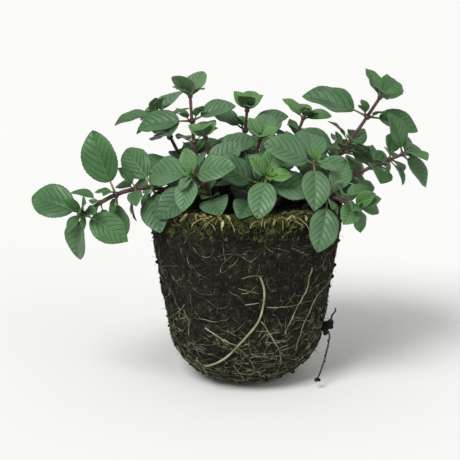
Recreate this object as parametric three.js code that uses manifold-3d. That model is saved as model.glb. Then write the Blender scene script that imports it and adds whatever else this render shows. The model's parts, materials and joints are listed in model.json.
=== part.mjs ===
// Peppermint lifted out of its nursery pot: a root ball that kept the pot's shape, with a low leafy plant on it.
// Millimetres, +Z up, front at -Y. The origin is the middle of the root ball's flat underside.

import * as THREE from "three";
import { mergeVertices } from "three/addons/utils/BufferGeometryUtils.js";
import Module from "manifold-3d";

const wasm = await Module();
wasm.setup();

// ---- Root ball: the inside of a round nursery pot ----
const BALL_TOP_RADIUS = 49.5;
const BALL_BASE_RADIUS = 35.5; // where the side's slope would meet the ground
const BALL_HEIGHT = 93;
const BALL_BASE_ROUNDING = 24; // how high the rounding of the base reaches
const BALL_BASE_INSET = 26; // how far it comes in
const BALL_RIM_ROUNDING = 3.5;
const BALL_LUMP = 0.7; // how far the side wanders in and out
const SOIL_HOLLOW = 2; // how far the middle of the soil lies below its rim
const BALL_SEGMENTS = 36;

// ---- Stems: four-sided, as on every mint ----
const PLANTING_DEPTH = 9;
const SOCKET_CLEARANCE = 0.3;
const SOCKET_FLARE_HEIGHT = 3; // how far above the soil a stem's socket keeps cutting
const STEM_BASE_WIDTH = 2.2;
const STEM_TIP_WIDTH = 1.5;
const STEM_STEPS = 9; // above the foot

// ---- Leaves ----
const LEAF_THICKNESS = 0.55; // at the midrib
const LEAF_SLENDERNESS = 0.61; // a leaf's width over its length
const LEAF_FOLD = 13; // degrees that each half rises from the midrib
const LEAF_BEND = 34; // degrees that the midrib turns down from its base to its tip
const LEAF_PITCH = 24; // degrees that a leaf leans from square to its stem, towards the stem's tip
const LEAF_CLEARANCE = 0.35; // free space around a leaf
const PETIOLE_SHARE = 0.17; // a petiole's length over its leaf's
const PETIOLE_RADIUS = 0.6;
const COLLAR_CLEARANCE = 0.3;
const COLLAR_WALL = 0.6;
const COLLAR_HEIGHT = 2;
const COLLAR_SIDES = 6;
const BUD_RADIUS = 1.3;
const BUD_GAP = 0.3; // between the end of a stem and the bud on it

// ---- What lies on the soil and hangs from the ball ----
const MOSS_THICKNESS = 1.8;
const SEAT_GAP = 0.3;
const ROOT_RADIUS = 0.65;
const ROOT_SIDES = 5;
const ROOT_STANDOFF = 1.15; // more than a radius, because the ball's side curves under the root
const HANGING_ROOT_RADIUS = 0.5;

const UP = new THREE.Vector3(0, 0, 1);
const LIGHT_LEAN = new THREE.Vector3(0, -0.75, 1); // the plant grew with more light from the front
const LIGHT_SPREAD = 0.6; // how much leaves at the rim face outwards

// Each shoot: where it leaves the soil, as a share of the ball's top radius; the points it passes through,
// from there; its leaf pairs, from the bottom up, each with its place along the stem, its turn about the stem
// and its two lengths; and its growing tip, with its turn and the lengths of its two outer and two inner
// leaves. pitches says how far each leaf leans towards the stem's tip, where that isn't the usual lean.
const SHOOTS = [
  {
    name: "runner_left",
    base: [-0.6, -0.18],
    path: [[-10, -3, 8], [-22, -7, 10], [-34, -12, 8], [-44, -19, 4], [-48, -28, 3]],
    pairs: [
      { along: 0.4, turn: -50, lengths: [25, 26], pitches: [25, -15] },
      { along: 0.68, turn: -80, lengths: [32, 20], pitches: [8, 12] },
    ],
    tip: { turn: -20, lengths: [30, 26, 27, 16], pitches: [8, 8, 6, 44] },
  },
  {
    name: "front_left",
    base: [-0.34, -0.38],
    path: [[-1, -2, 8], [-4, -5, 14], [-8, -8, 18]],
    pairs: [
      { along: 0.46, turn: 100, lengths: [23, 25], pitches: [24, 8] },
      { along: 0.8, turn: 30, lengths: [26, 27], pitches: [14, 14] },
    ],
    tip: { turn: -15, lengths: [26, 29, 15, 20], pitches: [10, 4, 44, 10] },
  },
  {
    name: "front_centre",
    base: [0.06, -0.42],
    path: [[2, -2, 8], [4, -5, 14], [6, -8, 18]],
    pairs: [
      { along: 0.46, turn: 60, lengths: [24, 24], pitches: [24, 10] },
      { along: 0.8, turn: -10, lengths: [27, 27], pitches: [12, 16] },
    ],
    tip: { turn: 80, lengths: [18, 24, 15, 13], pitches: [34, 0, 44, 44] },
  },
  {
    name: "front_right",
    base: [0.3, -0.24],
    path: [[5, -4, 8], [11, -8, 16], [17, -11, 23]],
    pairs: [{ along: 0.56, turn: 30, lengths: [27, 27], pitches: [20, 8] }],
    tip: { turn: 10, lengths: [24, 29, 27, 26], pitches: [20, 4, 10, -8] },
  },
  {
    name: "low_right",
    base: [0.55, -0.52],
    path: [[7, -4, 7], [16, -8, 9], [23, -13, 7]],
    pairs: [{ along: 0.66, turn: 50, lengths: [26, 20], pitches: [0, 24] }],
    tip: { turn: 0, lengths: [18, 18, 14, 13], pitches: [24, 24, 40, 40] },
  },
  {
    name: "runner_right",
    base: [0.7, -0.14],
    path: [[12, 0, 10], [27, 0, 18], [41, 0, 24]],
    pairs: [
      { along: 0.42, turn: 80, lengths: [24, 24] },
      { along: 0.74, turn: 0, lengths: [24, 24], pitches: [14, 24] },
    ],
    tip: { turn: 90, lengths: [22, 22, 23, 19], pitches: [24, 14, 30, 40] },
  },
  {
    name: "tall_right",
    base: [0.64, 0.12],
    path: [[10, 1, 14], [23, 1, 32], [34, 1, 49]],
    pairs: [
      { along: 0.54, turn: 20, lengths: [26, 26], pitches: [20, 4] },
      { along: 0.86, turn: 0, lengths: [26, 33], pitches: [26, -4] },
    ],
    tip: { turn: 70, lengths: [22, 21, 17, 12], pitches: [40, 30, 40, 54] },
  },
  {
    name: "upright_left",
    base: [-0.46, 0.25],
    path: [[-2, 1, 16], [-4, 2, 32], [-5, 3, 46]],
    pairs: [
      { along: 0.5, turn: 90, lengths: [23, 23], pitches: [24, 20] },
      { along: 0.84, turn: 0, lengths: [22, 27], pitches: [25, 6] },
    ],
    tip: { turn: 60, lengths: [20, 20, 11, 10], pitches: [56, 60, 66, 66] },
  },
  {
    name: "inner_left",
    base: [-0.28, 0.02],
    path: [[-2, 1, 10], [-4, 1, 21], [-6, 2, 30]],
    pairs: [
      { along: 0.42, turn: 95, lengths: [24, 24] },
      { along: 0.76, turn: 10, lengths: [25, 29], pitches: [20, 6] },
    ],
    tip: { turn: 90, lengths: [18, 17, 11, 10], pitches: [34, 34, 56, 56] },
  },
  {
    name: "centre",
    base: [0.03, 0.1],
    path: [[1, 0, 10], [3, -1, 20], [5, -2, 29]],
    pairs: [
      { along: 0.4, turn: 80, lengths: [23, 25], pitches: [24, 16] },
      { along: 0.74, turn: 10, lengths: [26, 26], pitches: [20, 20] },
    ],
    tip: { turn: 80, lengths: [20, 19, 13, 12], pitches: [40, 36, 58, 58] },
  },
  {
    name: "back_centre",
    base: [-0.05, 0.5],
    path: [[1, 1, 14], [2, 2, 27], [3, 3, 38]],
    pairs: [
      { along: 0.5, turn: 80, lengths: [23, 24] },
      { along: 0.82, turn: 0, lengths: [22, 21], pitches: [34, 34] },
    ],
    tip: { turn: 80, lengths: [17, 16, 13, 12], pitches: [48, 48, 60, 60] },
  },
  {
    name: "back_right",
    base: [0.36, 0.5],
    path: [[3, 1, 12], [7, 2, 23], [11, 3, 34]],
    pairs: [
      { along: 0.5, turn: 10, lengths: [24, 24] },
      { along: 0.8, turn: 90, lengths: [20, 25], pitches: [20, 10] },
    ],
    tip: { turn: 0, lengths: [15, 15, 11, 10], pitches: [36, 36, 56, 56] },
  },
  {
    name: "back_left",
    base: [-0.56, 0.5],
    path: [[-5, 3, 13], [-11, 6, 25], [-17, 10, 34]],
    pairs: [
      { along: 0.46, turn: 20, lengths: [25, 25] },
      { along: 0.76, turn: 100, lengths: [25, 25] },
    ],
    tip: { turn: 20, lengths: [24, 23, 14, 12], pitches: [26, 26, 50, 50] },
  },
  {
    name: "back_middle",
    base: [0.12, 0.74],
    path: [[1, 6, 9], [3, 12, 15], [6, 19, 18]],
    pairs: [{ along: 0.6, turn: 30, lengths: [26, 26] }],
    tip: { turn: 20, lengths: [24, 24, 20, 14], pitches: [24, 24, 30, 48] },
  },
  {
    name: "back_right_low",
    base: [0.6, 0.46],
    path: [[7, 5, 9], [15, 11, 14], [24, 17, 16]],
    pairs: [{ along: 0.6, turn: 30, lengths: [26, 25] }],
    tip: { turn: 10, lengths: [25, 24, 20, 14], pitches: [22, 22, 30, 46] },
  },
];

// Roots that show on the outside: their points are an azimuth in degrees and a share of the ball's height.
const FRONT_ROOT = [
  [-82, 0.7], [-79, 0.63], [-79, 0.54], [-82, 0.44], [-88, 0.375], [-96, 0.3], [-103, 0.24], [-113, 0.185],
  [-124, 0.15],
];
// The hanging root's points are an azimuth in degrees, how far out from the ball's side, and how high.
const HANGING_ROOT = [
  [-14, -6, 28], [-14, -3, 28.4], [-14.5, 1.5, 28], [-16, 4.8, 25], [-20, 6, 19],
  [-26, 6.8, 12.5], [-32, 7.5, 7], [-35, 7.4, 4.6], [-38, 8.6, 6],
];

// ---- Shapes ----

const vec = (x, y, z) => new THREE.Vector3(x, y, z);
const degrees = THREE.MathUtils.degToRad;

// A closed geometry from rings of points, each ring turning the same way about the line from the first to the last.
function loft(rings) {
  const count = rings[0].length;
  const last = (rings.length - 1) * count;
  const index = [];
  for (let i = 0; i + 1 < rings.length; i++) {
    for (let k = 0; k < count; k++) {
      const a = i * count + k;
      const b = i * count + ((k + 1) % count);
      index.push(a, b, b + count, a, b + count, a + count);
    }
  }
  for (let k = 1; k + 1 < count; k++) {
    index.push(0, k + 1, k, last, last + k, last + k + 1);
  }
  const points = rings.flat().flatMap((p) => [p.x, p.y, p.z]);
  const geometry = new THREE.BufferGeometry();
  geometry.setAttribute("position", new THREE.Float32BufferAttribute(points, 3));
  geometry.setIndex(index);
  return geometry;
}

// A solid that manifold-3d can cut and join: shared points merged, and the triangles that this closes up left out.
function solid(geometry) {
  const bare = geometry.clone();
  bare.deleteAttribute("normal");
  bare.deleteAttribute("uv");
  const merged = mergeVertices(bare, 1e-3);
  const from = merged.index.array;
  const kept = [];
  for (let i = 0; i < from.length; i += 3) {
    const [a, b, c] = [from[i], from[i + 1], from[i + 2]];
    if (a !== b && b !== c && c !== a) kept.push(a, b, c);
  }
  const vertProperties = new Float32Array(merged.attributes.position.array);
  return new wasm.Manifold(new wasm.Mesh({ numProp: 3, vertProperties, triVerts: new Uint32Array(kept) }));
}

function toGeometry(made) {
  const mesh = made.getMesh();
  const geometry = new THREE.BufferGeometry();
  geometry.setAttribute("position", new THREE.BufferAttribute(mesh.vertProperties, 3));
  geometry.setIndex(new THREE.BufferAttribute(mesh.triVerts, 1));
  return geometry;
}

// ---- Root ball ----

// How far the ball's side stands out or in, as the pot's ribs and the roots behind it left it.
function lump(azimuth, height) {
  const waves = Math.sin(3 * azimuth + 0.04 * height) + Math.sin(5 * azimuth - 0.07 * height + 2);
  return (BALL_LUMP / 2) * waves;
}

// The radius of the ball's tapered side at a height, without the roundings at its ends.
function sideRadius(azimuth, height) {
  const share = height / BALL_HEIGHT;
  return BALL_BASE_RADIUS + (BALL_TOP_RADIUS - BALL_BASE_RADIUS) * share + lump(azimuth, height);
}

// The same side with the rounding of the base.
function ballRadius(azimuth, height) {
  const below = Math.max(0, 1 - height / BALL_BASE_ROUNDING);
  return sideRadius(azimuth, height) - BALL_BASE_INSET * (1 - Math.sqrt(1 - below * below));
}

function soilHeight(x, y) {
  const share = Math.min(1, Math.hypot(x, y) / BALL_TOP_RADIUS);
  return BALL_HEIGHT - SOIL_HOLLOW * (1 - share * share);
}

function ballGeometry() {
  const profile = [];
  const add = (radius, height) => profile.push(new THREE.Vector2(radius, height));
  add(0, 0);
  for (let i = 0; i <= 6; i++) {
    const height = BALL_BASE_ROUNDING * (1 - Math.cos((Math.PI / 2) * (i / 6)));
    add(ballRadius(0, height) - lump(0, height), height);
  }
  const rimStart = BALL_HEIGHT - BALL_RIM_ROUNDING;
  for (const share of [0.35, 0.68, 1]) {
    const height = BALL_BASE_ROUNDING + (rimStart - BALL_BASE_ROUNDING) * share;
    add(sideRadius(0, height) - lump(0, height), height);
  }
  const inner = BALL_TOP_RADIUS - BALL_RIM_ROUNDING;
  add(inner + BALL_RIM_ROUNDING * Math.SQRT1_2, rimStart + BALL_RIM_ROUNDING * Math.SQRT1_2);
  for (const share of [1, 0.66, 0.33]) add(inner * share, soilHeight(inner * share, 0));
  add(0, soilHeight(0, 0));
  const geometry = new THREE.LatheGeometry(profile, BALL_SEGMENTS);
  geometry.rotateX(Math.PI / 2);
  const place = geometry.attributes.position;
  for (let i = 0; i < place.count; i++) {
    const [x, y, z] = [place.getX(i), place.getY(i), place.getZ(i)];
    const radius = Math.hypot(x, y);
    if (radius < 1) continue;
    const grown = 1 + lump(Math.atan2(y, x), z) / BALL_TOP_RADIUS;
    place.setXY(i, x * grown, y * grown);
  }
  return geometry;
}

// ---- Stems ----

function shootBase(shoot) {
  const [x, y] = shoot.base.map((share) => share * BALL_TOP_RADIUS);
  return vec(x, y, soilHeight(x, y));
}

// A stem's line, from the bottom of its socket, straight up through the soil and then along its points.
function stemCurve(shoot) {
  const base = shootBase(shoot);
  const depths = [-PLANTING_DEPTH, -PLANTING_DEPTH / 2, 0];
  const points = depths.map((depth) => vec(base.x, base.y, base.z + depth));
  for (const [x, y, z] of shoot.path) points.push(vec(x, y, z).add(base));
  return new THREE.CatmullRomCurve3(points, false, "centripetal");
}

// The rings of a square section swept along a curve, at shares of its length; width is a function of that share.
function squareRings(curve, shares, width) {
  const side = vec(1, 0, 0);
  return shares.map((share) => {
    const centre = curve.getPointAt(share);
    const along = curve.getTangentAt(share);
    side.projectOnPlane(along).normalize();
    const across = along.clone().cross(side);
    const half = width(share) / 2;
    const corner = (u, v) => centre.clone().addScaledVector(side, u * half).addScaledVector(across, v * half);
    return [corner(-1, -1), corner(1, -1), corner(1, 1), corner(-1, 1)];
  });
}

const stemWidth = (share) => STEM_BASE_WIDTH + (STEM_TIP_WIDTH - STEM_BASE_WIDTH) * share;

// The shares of a stem's length at which the rings of its foot lie, from its bottom to just above the soil.
function footShares(curve) {
  const reach = (PLANTING_DEPTH + SOCKET_FLARE_HEIGHT) / curve.getLength();
  return [0, 0.5, 0.75, 0.88, 1].map((share) => share * reach);
}

function stemGeometry(curve) {
  const foot = footShares(curve);
  const top = foot[foot.length - 1];
  const rest = Array.from({ length: STEM_STEPS }, (_, i) => top + ((1 - top) * (i + 1)) / STEM_STEPS);
  return loft(squareRings(curve, [...foot, ...rest], stemWidth));
}

// What is cut from the soil to take a stem: the stem's own foot, wider and deeper by the clearance.
function socketGeometry(curve) {
  const rings = squareRings(curve, footShares(curve), () => STEM_BASE_WIDTH + 2 * SOCKET_CLEARANCE);
  const floor = rings[0].map((corner) => corner.clone().addScaledVector(UP, -SOCKET_CLEARANCE));
  return loft([floor, ...rings]);
}

// ---- Leaves ----

// The half width of a blade at a share of the way from its base to its tip, for a blade 1 wide.
function outline(share) {
  return 0.5 * Math.pow(Math.sin(Math.PI * Math.pow(share, 0.88)), 0.64);
}

const BLADE_STATIONS = [0.07, 0.24, 0.45, 0.66, 0.86];

// A leaf from the end of its petiole at the stem: along is the way it leaves, facing the side that sees the light.
// grow widens it all round, which gives the space that it needs.
function leafGeometry({ start, along, facing, length, grow = 0 }) {
  const across = along.clone().cross(facing).normalize();
  const width = length * LEAF_SLENDERNESS;
  const petiole = length * PETIOLE_SHARE;
  const blade = length - petiole;
  const ring = (centre, upward, half, fold, thick) => {
    const margin = (sign) =>
      centre
        .clone()
        .addScaledVector(across, sign * (half * Math.cos(fold) + grow))
        .addScaledVector(upward, half * Math.sin(fold));
    const middle = (sign) => centre.clone().addScaledVector(upward, sign * (thick / 2 + grow));
    return [margin(-1), middle(1), margin(1), middle(-1)];
  };
  const rings = [
    ring(start, facing, PETIOLE_RADIUS, 0, 2 * PETIOLE_RADIUS),
    ring(start.clone().addScaledVector(along, petiole), facing, PETIOLE_RADIUS, 0, 1.5 * PETIOLE_RADIUS),
  ];
  const centre = start.clone().addScaledVector(along, petiole);
  let before = 0;
  for (const share of [...BLADE_STATIONS, 1]) {
    const middle = degrees(LEAF_BEND) * ((before + share) / 2);
    const step = (share - before) * blade;
    centre.addScaledVector(along, step * Math.cos(middle)).addScaledVector(facing, -step * Math.sin(middle));
    const turn = degrees(LEAF_BEND) * share;
    const upward = facing.clone().multiplyScalar(Math.cos(turn)).addScaledVector(along, Math.sin(turn));
    const half = width * outline(Math.min(share, 0.995));
    const thick = LEAF_THICKNESS * (1 - 0.6 * share);
    if (share < 1) rings.push(ring(centre, upward, half, degrees(LEAF_FOLD), thick));
    else rings.push(Array(4).fill(centre.clone()));
    before = share;
  }
  if (grow > 0) rings[rings.length - 1] = ring(centre, facing, 0, 0, 0);
  return loft(rings);
}

// The light that reaches a point: from above, from the front, and for points near the rim from outside.
function lightAt(point) {
  const outwards = vec(point.x, point.y, 0).divideScalar(BALL_TOP_RADIUS).clampLength(0, 1.2);
  return LIGHT_LEAN.clone().addScaledVector(outwards, LIGHT_SPREAD).normalize();
}

// The way square to a stem that a leaf at a turn leaves it. A turn of 0 is to the right on a stem that rises,
// and level on one that runs along the soil.
function sideOf(tangent, turn) {
  const rises = tangent.z > 0.5;
  const side = rises ? vec(1, 0, 0).projectOnPlane(tangent) : tangent.clone().cross(UP);
  return side.normalize().applyAxisAngle(tangent, degrees(turn));
}

// Solids that are in place, with their boxes, so that each new leaf can be turned clear of them.
const placed = [];

function boxOf(geometry) {
  geometry.computeBoundingBox();
  return geometry.boundingBox.clone();
}

function place(geometry, made) {
  placed.push({ box: boxOf(geometry), made });
}

function isClear(geometry) {
  const box = boxOf(geometry);
  const near = placed.filter((other) => other.box.intersectsBox(box));
  if (!near.length) return true;
  const envelope = solid(geometry);
  return near.every((other) => envelope.intersect(other.made).isEmpty());
}

// Ways to turn a leaf from where it would like to stand, the smallest turns first.
const TURNS = [];
for (let lean = -56; lean <= 56; lean += 8) {
  for (let swing = -60; swing <= 60; swing += 10) TURNS.push([lean, swing]);
}
TURNS.sort((a, b) => Math.hypot(...a) - Math.hypot(...b));

// A leaf on a stem, turned by as little as brings it clear of everything that is already in place,
// and grown a little smaller where no turn does.
function growLeaf({ point, tangent, turn, pitch, reach, length }) {
  for (let size = 1; size > 0.3; size *= 0.88) {
    for (const [lean, swing] of TURNS) {
      const side = sideOf(tangent, turn + swing);
      const tilt = degrees(THREE.MathUtils.clamp(pitch + lean, -40, 78));
      const along = side.multiplyScalar(Math.cos(tilt)).addScaledVector(tangent, Math.sin(tilt));
      const facing = lightAt(point).projectOnPlane(along);
      if (facing.length() < 0.3) facing.copy(tangent).projectOnPlane(along);
      facing.normalize();
      const start = point.clone().addScaledVector(along, reach);
      const leaf = { start, along, facing, length: length * size };
      const made = leafGeometry(leaf);
      const pastHub = start.clone().addScaledVector(along, 2 * PETIOLE_RADIUS);
      const beyond = { ...leaf, start: pastHub, grow: LEAF_CLEARANCE };
      if (isClear(made) && isClear(leafGeometry(beyond))) return made;
    }
  }
  throw new Error("no room for a leaf near " + point.toArray().map(Math.round));
}

// The ring round a stem that joins the two leaves of a pair.
function collarGeometry(point, tangent, width) {
  const inner = (width / 2) * Math.SQRT2 + COLLAR_CLEARANCE;
  const fromFlats = 1 / Math.cos(Math.PI / COLLAR_SIDES);
  const outer = inner * fromFlats + COLLAR_WALL;
  const half = COLLAR_HEIGHT / 2;
  const profile = [
    [inner * fromFlats, -half],
    [outer, -half / 2],
    [outer, half / 2],
    [inner * fromFlats, half],
    [inner * fromFlats, -half],
  ].map(([radius, height]) => new THREE.Vector2(radius, height));
  const geometry = new THREE.LatheGeometry(profile, COLLAR_SIDES);
  geometry.applyQuaternion(new THREE.Quaternion().setFromUnitVectors(vec(0, 1, 0), tangent));
  geometry.translate(point.x, point.y, point.z);
  return geometry;
}

function budGeometry(point, tangent) {
  const geometry = new THREE.SphereGeometry(BUD_RADIUS, 6, 5);
  const centre = point.clone().addScaledVector(tangent, BUD_RADIUS + BUD_GAP);
  geometry.translate(centre.x, centre.y, centre.z);
  return geometry;
}

// Leaves on a hub, joined to it as one solid. All of them are found room before any is put in place.
function joinLeaves(hub, leaves) {
  const made = leaves.reduce((whole, leaf) => whole.add(solid(leaf)), solid(hub));
  const geometry = toGeometry(made);
  place(geometry, made);
  return geometry;
}

// Two opposite leaves and the collar that they share, a little higher on the stem where the collar has no room.
function pairGeometry(curve, pair) {
  for (let along = pair.along; along < 0.96; along += 0.02) {
    const point = curve.getPointAt(along);
    const tangent = curve.getTangentAt(along);
    const width = stemWidth(along);
    const collar = collarGeometry(point, tangent, width);
    if (!isClear(collar)) continue;
    const reach = (width / 2) * Math.SQRT2 + COLLAR_CLEARANCE + COLLAR_WALL / 2;
    const leaves = pair.lengths.map((length, i) => {
      const turn = pair.turn + 180 * i;
      const pitch = pair.pitches?.[i] ?? LEAF_PITCH;
      return growLeaf({ point, tangent, turn, pitch, reach, length });
    });
    return joinLeaves(collar, leaves);
  }
  throw new Error("no room for a pair of leaves at " + pair.along + " of its stem");
}

function tipGeometry(curve, tip) {
  const tangent = curve.getTangentAt(1);
  const end = curve.getPointAt(1);
  const point = end.clone().addScaledVector(tangent, BUD_GAP + BUD_RADIUS);
  const leaves = tip.lengths.map((length, i) => {
    const turn = tip.turn + 180 * i + (i > 1 ? 90 : 0);
    return growLeaf({ point, tangent, turn, pitch: tip.pitches[i], reach: 0, length });
  });
  return joinLeaves(budGeometry(end, tangent), leaves);
}

// ---- Moss and roots ----

// A cushion of moss on the soil behind the front rim, a little thicker in its middle.
function mossGeometry() {
  const [first, last, steps] = [-142, -48, 12];
  const inside = BALL_TOP_RADIUS * 0.66;
  const outside = BALL_TOP_RADIUS - BALL_RIM_ROUNDING - 1;
  const rings = [];
  for (let i = 0; i <= steps; i++) {
    const azimuth = degrees(first + ((last - first) * i) / steps);
    const swell = Math.sqrt(Math.sin(Math.PI * Math.min(0.96, Math.max(0.04, i / steps))));
    const edge = 1.5 * Math.sin(3.1 * i);
    const at = (radius, lift) => {
      const [x, y] = [radius * Math.cos(azimuth), radius * Math.sin(azimuth)];
      return vec(x, y, soilHeight(x, y) + SEAT_GAP + lift);
    };
    const middle = (inside + outside + edge) / 2;
    const half = ((outside - inside - edge) / 2) * swell;
    const top = MOSS_THICKNESS * swell;
    rings.push([
      at(middle - half, 0),
      at(middle - 0.5 * half, 0.8 * top),
      at(middle + 0.6 * half, top),
      at(middle + half, 0),
    ]);
  }
  return loft(rings);
}

function roundTube(points, radius, sides, steps) {
  const curve = new THREE.CatmullRomCurve3(points, false, "centripetal");
  const section = new THREE.Shape();
  for (let i = 0; i < sides; i++) {
    const turn = (2 * Math.PI * i) / sides;
    const corner = [radius * Math.cos(turn), radius * Math.sin(turn)];
    if (i === 0) section.moveTo(...corner);
    else section.lineTo(...corner);
  }
  return new THREE.ExtrudeGeometry(section, { steps, extrudePath: curve, bevelEnabled: false });
}

// A root that lies along the ball's side.
function sideRootGeometry(route) {
  const points = route.map(([azimuth, share]) => {
    const turn = degrees(azimuth);
    const height = share * BALL_HEIGHT;
    const radius = ballRadius(turn, height) + ROOT_RADIUS * ROOT_STANDOFF + SEAT_GAP;
    return vec(radius * Math.cos(turn), radius * Math.sin(turn), height);
  });
  return roundTube(points, ROOT_RADIUS, ROOT_SIDES, 18);
}

function hangingRootPoint([azimuth, out, height]) {
  const turn = degrees(azimuth);
  const radius = sideRadius(turn, height) + out;
  return vec(radius * Math.cos(turn), radius * Math.sin(turn), height);
}

// A root that grew out through one of the pot's holes and hangs down beside the ball.
function hangingRootGeometry() {
  return roundTube(HANGING_ROOT.map(hangingRootPoint), HANGING_ROOT_RADIUS, ROOT_SIDES, 26);
}

// What is cut from the ball where the hanging root comes out.
function rootSocketGeometry() {
  const [inner, middle, outer] = HANGING_ROOT.slice(0, 3).map(hangingRootPoint);
  const deeper = inner.clone().sub(middle).setLength(SOCKET_CLEARANCE);
  const route = [inner.clone().add(deeper), middle, outer];
  return roundTube(route, HANGING_ROOT_RADIUS + SOCKET_CLEARANCE, ROOT_SIDES, 4);
}

// ---- The plant ----

const MATERIALS = {
  soil: { color: 0x2a2318, roughness: 0.95 },
  stem: { color: 0x4a3032, roughness: 0.55 },
  leaf: { color: 0x587a55, roughness: 0.5 },
  young_leaf: { color: 0x5f9244, roughness: 0.5 },
  moss: { color: 0x5f6426, roughness: 0.95 },
  root: { color: 0xa49a74, roughness: 0.8 },
};

function named(name, geometry, material) {
  const finish = new THREE.MeshStandardMaterial({ ...MATERIALS[material], metalness: 0 });
  const mesh = new THREE.Mesh(geometry, finish);
  mesh.name = name;
  return mesh;
}

const plant = new THREE.Group();
plant.name = "peppermint";
const curves = SHOOTS.map(stemCurve);
const sockets = curves.map((curve) => solid(socketGeometry(curve)));

const wholeBall = solid(ballGeometry());
const cuts = [...sockets, solid(rootSocketGeometry())];
const ball = toGeometry(cuts.reduce((rest, cut) => rest.subtract(cut), wholeBall));
place(ball, wholeBall);
plant.add(named("root_ball", ball, "soil"));

const moss = toGeometry(sockets.reduce((rest, socket) => rest.subtract(socket), solid(mossGeometry())));
place(moss, solid(moss));
plant.add(named("moss_cushion", moss, "moss"));
plant.add(named("side_root", sideRootGeometry(FRONT_ROOT), "root"));
plant.add(named("hanging_root", hangingRootGeometry(), "root"));

// The stems stand first, and the leaves find their room from the growing tips down, as they do in the light.
const stems = curves.map(stemGeometry);
for (const stem of stems) place(stem, solid(stem));
const tips = SHOOTS.map((shoot, i) => tipGeometry(curves[i], shoot.tip));
SHOOTS.forEach((shoot, i) => {
  const group = new THREE.Group();
  const base = shootBase(shoot);
  group.position.copy(base);
  const add = (name, geometry, material) => {
    group.add(named(name, geometry.translate(-base.x, -base.y, -base.z), material));
  };
  const pairs = [...shoot.pairs].reverse().map((pair) => pairGeometry(curves[i], pair));
  add("stem_" + shoot.name, stems[i], "stem");
  pairs.reverse().forEach((pair, k) => add("leaf_pair_" + shoot.name + "_" + (k + 1), pair, "leaf"));
  add("tip_" + shoot.name, tips[i], "young_leaf");
  plant.add(group);
});

export default plant;
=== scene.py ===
# %% [markdown]
# # A peppermint plant lifted out of its pot
#
# The plant is a ball of rooted peat with leafy stems growing out of it. The frame, made in CAD, holds plain solids
# for the ball, the stems and every pair of leaves. This lesson keeps the frame's places and sizes, and makes fine
# pieces around them: quilted leaves with veins, loose peat with fibres and roots, moss, and dry bits on the soil.

import json
import math
import random

import bmesh
import bpy
import numpy as np
from mathutils import Matrix, Quaternion, Vector, noise
from mathutils.bvhtree import BVHTree

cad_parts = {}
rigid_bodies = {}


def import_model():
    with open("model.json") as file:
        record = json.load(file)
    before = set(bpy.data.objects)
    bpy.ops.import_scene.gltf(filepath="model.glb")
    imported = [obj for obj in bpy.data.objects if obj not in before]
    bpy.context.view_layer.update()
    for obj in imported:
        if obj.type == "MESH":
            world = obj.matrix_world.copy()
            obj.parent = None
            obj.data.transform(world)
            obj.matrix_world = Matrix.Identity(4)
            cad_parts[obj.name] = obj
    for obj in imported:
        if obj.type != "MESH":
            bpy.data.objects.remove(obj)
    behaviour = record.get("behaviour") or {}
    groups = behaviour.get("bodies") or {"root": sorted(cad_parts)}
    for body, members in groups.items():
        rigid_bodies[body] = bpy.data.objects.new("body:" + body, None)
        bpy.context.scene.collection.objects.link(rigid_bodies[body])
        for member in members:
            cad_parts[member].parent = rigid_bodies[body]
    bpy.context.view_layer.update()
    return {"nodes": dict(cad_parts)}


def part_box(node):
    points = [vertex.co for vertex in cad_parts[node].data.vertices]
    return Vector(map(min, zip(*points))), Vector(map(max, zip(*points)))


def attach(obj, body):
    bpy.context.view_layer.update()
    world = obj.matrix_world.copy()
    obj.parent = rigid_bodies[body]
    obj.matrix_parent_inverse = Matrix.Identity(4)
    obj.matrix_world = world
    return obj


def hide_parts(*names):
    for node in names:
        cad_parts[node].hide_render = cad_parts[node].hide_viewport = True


for leftover in list(bpy.data.objects):
    bpy.data.objects.remove(leftover)
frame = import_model()
nodes = frame["nodes"]
MM = 0.001
UP = Vector((0, 0, 1))
chance = random.Random(7)

# %% [markdown]
# ## Colour as it is measured
#
# Blender's usual view squeezes bright colours and makes greens grey. The plain "Standard" view shows each colour as
# it is set, which suits a soft, evenly lit studio.

# %% Choose the view
bpy.context.scene.view_settings.view_transform = "Standard"

# %% [markdown]
# ## Helpers for finishes
#
# Every finish on a plant is uneven, so each one is a small graph of nodes. A few short methods keep those graphs
# readable: one adds a node, one does arithmetic, one blends two colours. Patterns read Object coordinates, which are
# metres in the frame, so a noise scale of 1000 has features of about a millimetre.


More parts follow.
